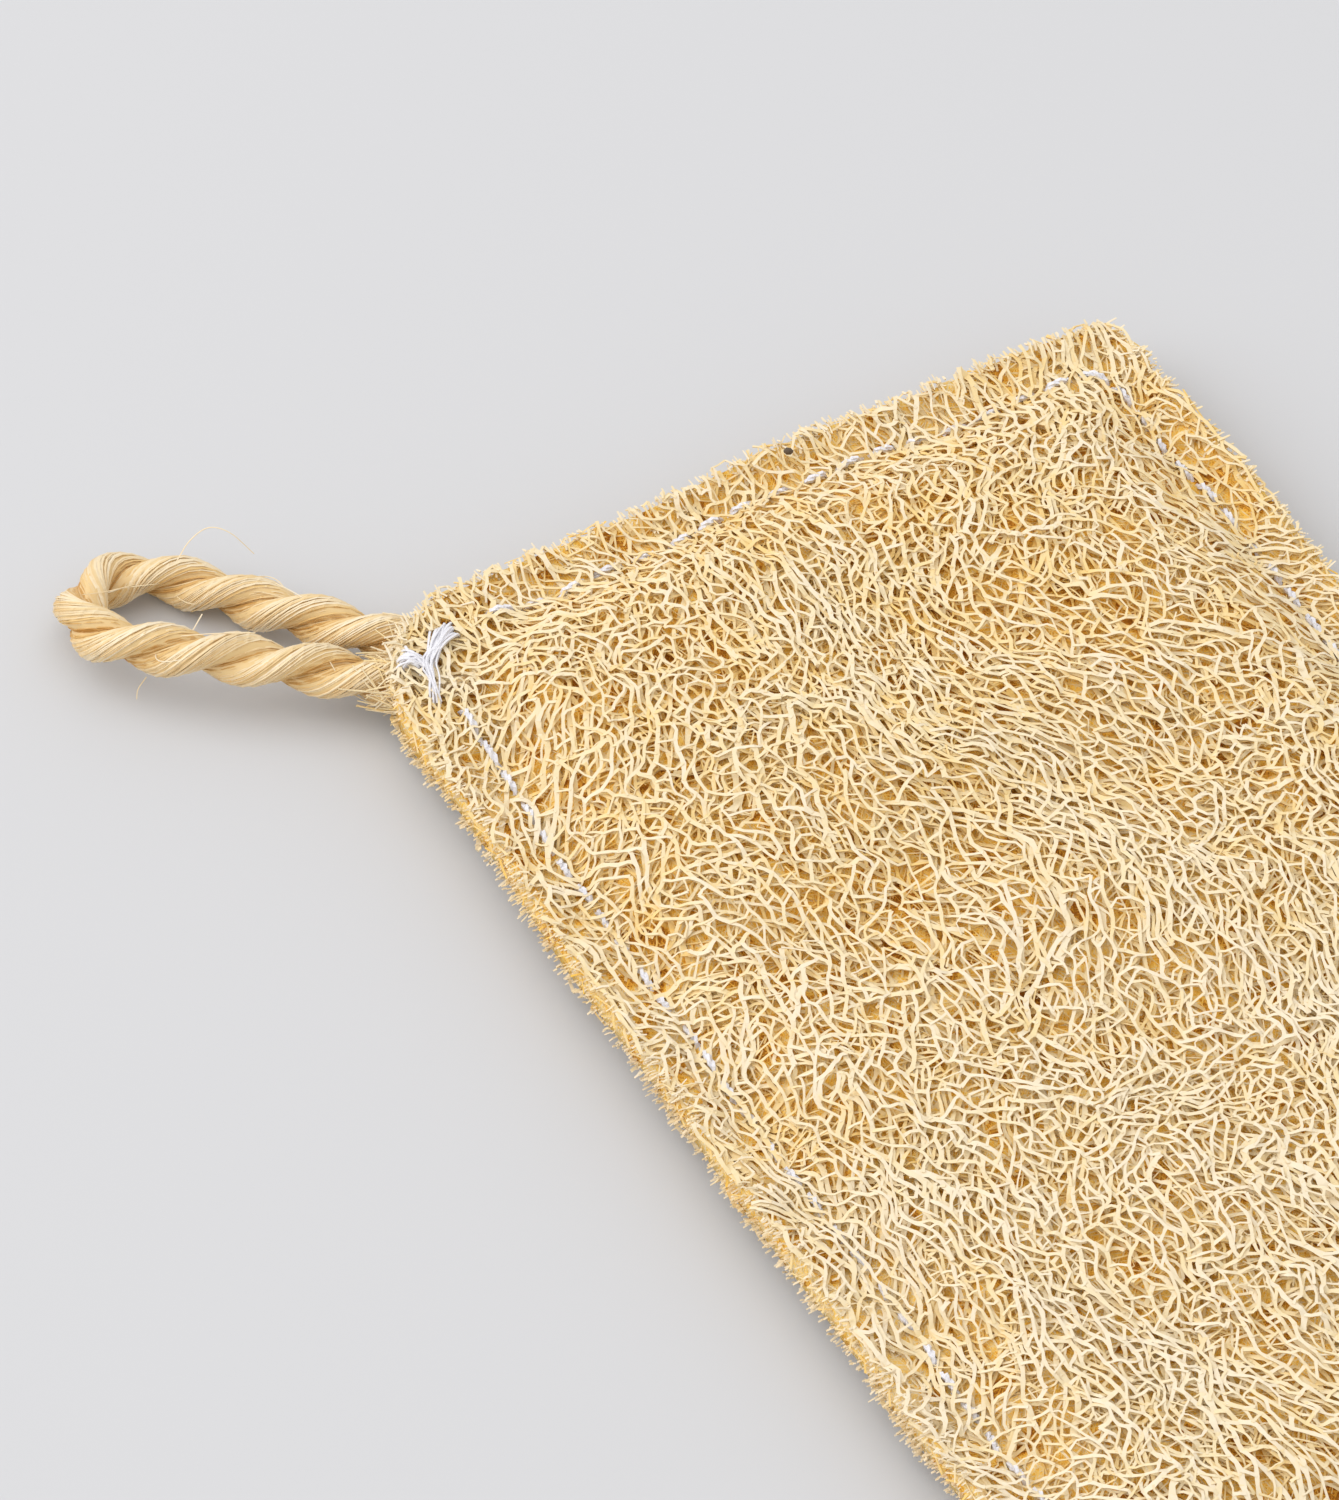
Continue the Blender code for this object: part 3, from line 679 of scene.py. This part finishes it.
def plant_cord():
    """Long plant fibre such as sisal or jute, bleached: silky, pale straw, with painted golden shade where
    the plies meet.
    """
    material = bpy.data.materials.new("bleached plant fibre cord")
    material.use_nodes = True
    tree = material.node_tree
    shader = tree.nodes["Principled BSDF"]
    depth = add_node(tree, "ShaderNodeAttribute", {"attribute_name": "depth"})
    tint = add_node(tree, "ShaderNodeAttribute", {"attribute_name": "tint"})
    uneven = add_node(tree, "ShaderNodeMath", {"operation": "MULTIPLY_ADD", 1: 1.2, 2: -0.6}, {
        0: tint.outputs["Fac"],
    })
    sunk = add_node(tree, "ShaderNodeMath", {"operation": "ADD"}, {
        0: depth.outputs["Fac"], 1: uneven.outputs[0],
    })
    share = add_node(tree, "ShaderNodeMapRange", {"From Min": -0.4, "From Max": 2.0}, {
        "Value": sunk.outputs[0],
    })
    ramp = add_node(tree, "ShaderNodeValToRGB", None, {"Fac": share.outputs["Result"]})
    set_ramp(ramp, ((0.0, "F0E0C2"), (0.35, "EBD5AC"), (0.65, "E2BF80"), (1.0, "C48E40")))
    tree.links.new(ramp.outputs["Color"], shader.inputs["Base Color"])
    shader.inputs["Roughness"].default_value = 0.5
    shader.inputs["IOR"].default_value = 1.5
    return material


def cord_hairs():
    """A few fibres that have worked out of the twist and stand off the loop in thin arcs."""
    draw = np.random.default_rng(61)
    # The hairs that the photo shows, in millimetres as in the cord's route
    arcs = [
        ((19.9, -4.1, 8.0), (18.9, -5.4, 10.0), (17.2, -6.4, 11.5), (14.9, -6.4, 11.5), (12.3, -6.1, 9.5)),
        ((15.8, 0.2, 6.0), (15.9, 3.5, 6.5), (16.7, 5.4, 5.5)),
        ((11.3, 4.9, 5.2), (10.3, 4.3, 6.5), (9.2, 4.0, 6.8), (8.4, 4.0, 6.0)),
        ((4.0, 2.0, 7.5), (2.1, 2.6, 7.3), (-0.1, 4.5, 6.5)),
        ((19.7, 6.5, 2.0), (20.3, 7.5, 1.0), (20.2, 8.3, 0.4)),
    ]
    runs = []
    for arc in arcs:
        points = from_corner(arc)
        ends = np.vstack((2 * points[0] - points[1], points, 2 * points[-1] - points[-2]))
        runs.append(curve_through(ends, 6))
    for _ in range(11):
        start = draw.integers(15, len(cord_line) - 30)
        root = cord_line[start]
        tip = cord_line[start + draw.integers(4, 11)] + draw.normal(0, 1.2, 3)
        away = draw.normal(0, 1, 3)
        away[2] = abs(away[2])
        away *= draw.uniform(2.0, 3.4) / np.linalg.norm(away)
        share = np.linspace(0, 1, 14)[:, None]
        hair = root + (tip - root) * share + away * np.sin(share * np.pi * draw.uniform(0.5, 1.0)) ** 0.8
        hair[:, 2] = np.maximum(hair[:, 2], 0.15)
        runs.append(hair)
    radii = [np.linspace(0.08, 0.05, len(run)) for run in runs]
    depths = [np.zeros(len(run)) for run in runs]
    tints = [np.full(len(run), draw.random()) for run in runs]
    return sweep("cord_hairs", runs, radii, 3, {"depth": depths, "tint": tints})


bleached_cord = plant_cord()
cord, cores = twisted_cord()
dress(cord, bleached_cord, "cord", "hanging_loop")
dress(cores, bleached_cord, "cord", "hanging_loop")
hairs = dress(cord_hairs(), bleached_cord, "cord", "hanging_loop")


# The frayed corner
# Where the cord comes out between the two layers the cut loofah isn't trimmed, and its loose fibres reach a
# little way along the cord's legs.
def corner_fray():
    """Loofah fibres that lie round the cord's legs at the corner."""
    draw = np.random.default_rng(55)
    one, two = frames_along(cord_line)
    runs, radii, depths, tints = [], [], [], []
    near_leg = range(CORD_STEPS, 4 * CORD_STEPS)
    far_leg = range(len(cord_line) - CORD_STEPS, len(cord_line) - 4 * CORD_STEPS, -1)
    legs = [near_leg] * 3 + [far_leg] * 5
    for _ in range(400):
        leg = legs[draw.integers(len(legs))]
        start = draw.integers(0, len(leg) - 9)
        span = draw.integers(3, 7)
        path = [leg[start + step] for step in range(span + 1)]
        out = (cord_line[path[-1]][:2] - corner) @ OUTWARD
        if out > draw.uniform(-4.5, 0.5):
            continue
        angle = draw.uniform(0, 2 * np.pi) + np.linspace(0, draw.normal(0, 1.0), span + 1)
        away = CORD_DIAMETER / 2 + draw.uniform(0.1, 0.5)
        away = away + draw.normal(0, 0.15) * np.linspace(0, 1, span + 1) ** 2
        run = cord_line[path] + away[:, None] * (
            np.cos(angle)[:, None] * one[path] + np.sin(angle)[:, None] * two[path]
        )
        run[:, 2] = np.maximum(run[:, 2], 0.2)
        runs.append(run)
        radii.append(draw.uniform(0.08, 0.14) * np.linspace(1, 0.6, span + 1))
        depths.append(np.full(span + 1, draw.uniform(-0.3, 0.5)))
        tints.append(np.full(span + 1, draw.random()))
    return sweep("corner_fray", runs, radii, 4, {"depth": depths, "tint": tints})


dress(corner_fray(), dried_loofah, "loofah", "loofah_top_layer", "loofah_bottom_layer")


# The seam
# White two-ply cotton thread, lockstitched through both layers inside the hem. Each stitch lies on the net
# for some 3 mm and is pulled into it at its ends.
STITCH = 4.0
THREAD_LAY = 1.9  # length of one turn of a ply round the thread
THREAD_PLY = 0.25  # radius of a ply


def seam_path(inset, radius, steps):
    """The flat line of the seam, anticlockwise from the loop's corner."""
    points = []
    for turn, (sx, sy) in enumerate(((1, 1), (-1, 1), (-1, -1), (1, -1))):
        for step in range(steps + 1):
            angle = np.pi / 2 * (turn + step / steps)
            points.append((
                sx * (half_length - inset - radius) + radius * np.cos(angle),
                sy * (half_width - inset - radius) + radius * np.sin(angle),
            ))
    points = np.array(points)
    start = np.argmin(points.sum(axis=1))
    return np.concatenate((points[start:], points[:start + 1]))


def seam_thread(side):
    """The stitches on one face, as two plies that turn round each other."""
    path = seam_path(seam_inset + 0.6, 3.0, 6)
    lengths = np.append(0, np.cumsum(np.linalg.norm(np.diff(path, axis=0), axis=1)))
    margin = 7.6
    count = round((lengths[-1] - 2 * margin) / STITCH)
    travelled = np.linspace(margin, lengths[-1] - margin, count * 10 + 1)
    draw = np.random.default_rng(71 if side == "top" else 72)
    u = np.interp(travelled, lengths, path[:, 0])
    v = np.interp(travelled, lengths, path[:, 1])
    phase = np.linspace(0, count, len(travelled))
    pull = np.abs(np.cos(np.pi * phase)) ** 5
    wander = np.interp(phase, np.arange(count + 1), draw.normal(0, 0.28, count + 1))
    x, y, z = on_face(side, u, v, 0.0).T
    away = np.stack((np.gradient(y), -np.gradient(x)), -1)
    away /= np.linalg.norm(away, axis=1)[:, None]
    way = 1 if side == "top" else -1
    buried = 0.1 + np.interp(phase, np.arange(count + 1), draw.uniform(0, 0.8, count + 1))
    line = np.stack((x + away[:, 0] * wander, y + away[:, 1] * wander, z - way * (buried + 1.2 * pull)), -1)
    one, two = frames_along(line)
    runs, radii, tints = [], [], []
    for ply in range(2):
        turn = 2 * np.pi * travelled / THREAD_LAY + np.pi * ply
        runs.append(line + 0.19 * (np.cos(turn)[:, None] * one + np.sin(turn)[:, None] * two))
        radii.append(np.full(len(line), THREAD_PLY))
        tints.append(np.full(len(line), 0.5))
    return sweep(f"seam_stitches_{side}", runs, radii, 4, {"tint": tints})


def cotton_thread():
    """Bleached cotton sewing thread: matt white, with a soft fuzz."""
    material = bpy.data.materials.new("white cotton thread")
    material.use_nodes = True
    tree = material.node_tree
    shader = tree.nodes["Principled BSDF"]
    place = add_node(tree, "ShaderNodeTexCoord")
    fuzz = add_node(tree, "ShaderNodeTexNoise", {"Scale": 1 / (0.2 * MM)}, {
        "Vector": place.outputs["Object"],
    })
    ramp = add_node(tree, "ShaderNodeValToRGB", None, {"Fac": fuzz.outputs["Fac"]})
    set_ramp(ramp, ((0.3, "DCDAE0"), (0.7, "F1F0F4")))
    bump = add_node(tree, "ShaderNodeBump", {"Strength": 0.4, "Distance": 0.05 * MM}, {
        "Height": fuzz.outputs["Fac"],
    })
    tree.links.new(ramp.outputs["Color"], shader.inputs["Base Color"])
    tree.links.new(bump.outputs["Normal"], shader.inputs["Normal"])
    shader.inputs["Roughness"].default_value = 0.85
    shader.inputs["Sheen Weight"].default_value = 0.3
    return material


white_cotton = cotton_thread()
for side in ("top", "bottom"):
    dress(seam_thread(side), white_cotton, "thread", f"seam_thread_{side}")


# The corner tack
# The seam starts and ends here, so its cotton thread is sewn over the cord's tails several times in a forked
# figure that holds them.
def corner_tack():
    """Bundled passes of thread between the points of a Y."""
    # Millimetres inside the corner and towards the near side
    head, tip, foot, fork = (9.9, -3.3), (5.3, 1.5), (11.4, 5.4), (9.3, 1.9)
    draw = np.random.default_rng(81)
    runs, radii, tints = [], [], []
    for points in [(head, fork, foot)] * 12 + [(tip, fork)] * 26 + [(head, fork)] * 18:
        flat = np.array([
            -OUTWARD * inward + NEARWARD * aside + (-half_length, -half_width)
            + draw.normal(0, 0.38 if (inward, aside) in (fork, foot) else 0.6, 2)
            for inward, aside in points
        ])
        share = np.linspace(0, len(flat) - 1, 16)
        u = np.interp(share, np.arange(len(flat)), flat[:, 0]) + 0.12 * np.sin(share * 5 + draw.uniform(0, 6))
        v = np.interp(share, np.arange(len(flat)), flat[:, 1]) + 0.12 * np.sin(share * 4 + draw.uniform(0, 6))
        arch = np.sin(np.pi * share / (len(flat) - 1)) ** 0.5
        runs.append(on_face("top", u, v, 1.3 - 1.3 * arch - draw.uniform(0, 0.7)))
        radii.append(draw.uniform(0.1, 0.19) * (1 + 0.1 * np.sin(share * 9)))
        tints.append(np.full(16, 0.5))
    return sweep("corner_tack", runs, radii, 4, {"tint": tints})


dress(corner_tack(), white_cotton, "thread", "corner_tack_thread")


# The floor
# The pad lies on a plain pale sheet of matt paper, which is wide enough to fill the view and isn't a piece of
# the pad.
floor_mesh = bpy.data.meshes.new("floor")
FLOOR_HALF = 1.6
FLOOR_DROP = 0.1 * MM  # clear of the fibres that rest on it
floor_mesh.from_pydata([
    (sx * FLOOR_HALF, sy * FLOOR_HALF, -FLOOR_DROP) for sx, sy in ((-1, -1), (1, -1), (1, 1), (-1, 1))
], [], [(0, 1, 2, 3)])
floor = bpy.data.objects.new("floor", floor_mesh)
bpy.context.collection.objects.link(floor)
pale = bpy.data.materials.new("pale matt paper")
pale.use_nodes = True
pale.node_tree.nodes["Principled BSDF"].inputs["Base Color"].default_value = linear("CCCCCE")
pale.node_tree.nodes["Principled BSDF"].inputs["Roughness"].default_value = 0.9
floor_mesh.materials.append(pale)


# The light
# Broad soft daylight from above and from the left of the picture, with a bright room round it.
def soft_lamp(name, place, target, size, power):
    """A square soft box that faces a point."""
    data = bpy.data.lights.new(name, "AREA")
    data.shape = "SQUARE"
    data.size = size
    data.energy = power
    lamp = bpy.data.objects.new(name, data)
    bpy.context.collection.objects.link(lamp)
    lamp.location = place
    lamp.rotation_euler = (Vector(target) - Vector(place)).to_track_quat("-Z", "Y").to_euler()
    return lamp


soft_lamp("window", (-0.2, 0.1, 1.45), (-0.03, 0.0, 0.0), 1.4, 2.8)
soft_lamp("near_window", (-0.6, -1.0, 0.95), (-0.03, -0.05, 0.0), 1.6, 12.4)
world = bpy.data.worlds.new("bright room")
world.use_nodes = True
world.node_tree.nodes["Background"].inputs["Color"].default_value = linear("F7F7F7")
world.node_tree.nodes["Background"].inputs["Strength"].default_value = 0.89
bpy.context.scene.world = world
bpy.context.scene.view_settings.view_transform = "Standard"


# The camera
# A long lens, some 0.9 m away, looks down at the loop's end of the pad and cuts off the other end.
FOCAL_PX = 9000.0
PHOTO_HEIGHT = 1500
SENSOR = 36.0
SCALE_PX_PER_MM = 10.06
camera_data = bpy.data.cameras.new("camera")
camera_data.sensor_width = SENSOR
camera_data.lens = FOCAL_PX / PHOTO_HEIGHT * SENSOR
camera_data.clip_start = 0.05
camera = bpy.data.objects.new("camera", camera_data)
bpy.context.collection.objects.link(camera)
azimuth, elevation = math.radians(60.0), math.radians(49.5)
right = Vector((math.cos(azimuth), math.sin(azimuth), 0.0))
forward = Vector((
    -math.sin(azimuth) * math.cos(elevation),
    math.cos(azimuth) * math.cos(elevation),
    -math.sin(elevation),
))
aim = Vector((-0.0477, -0.0232, 0.0044))
turned = Matrix((right, right.cross(forward), -forward)).transposed().to_4x4()
camera.matrix_world = Matrix.Translation(aim - forward * FOCAL_PX / SCALE_PX_PER_MM * MM) @ turned
bpy.context.scene.camera = camera
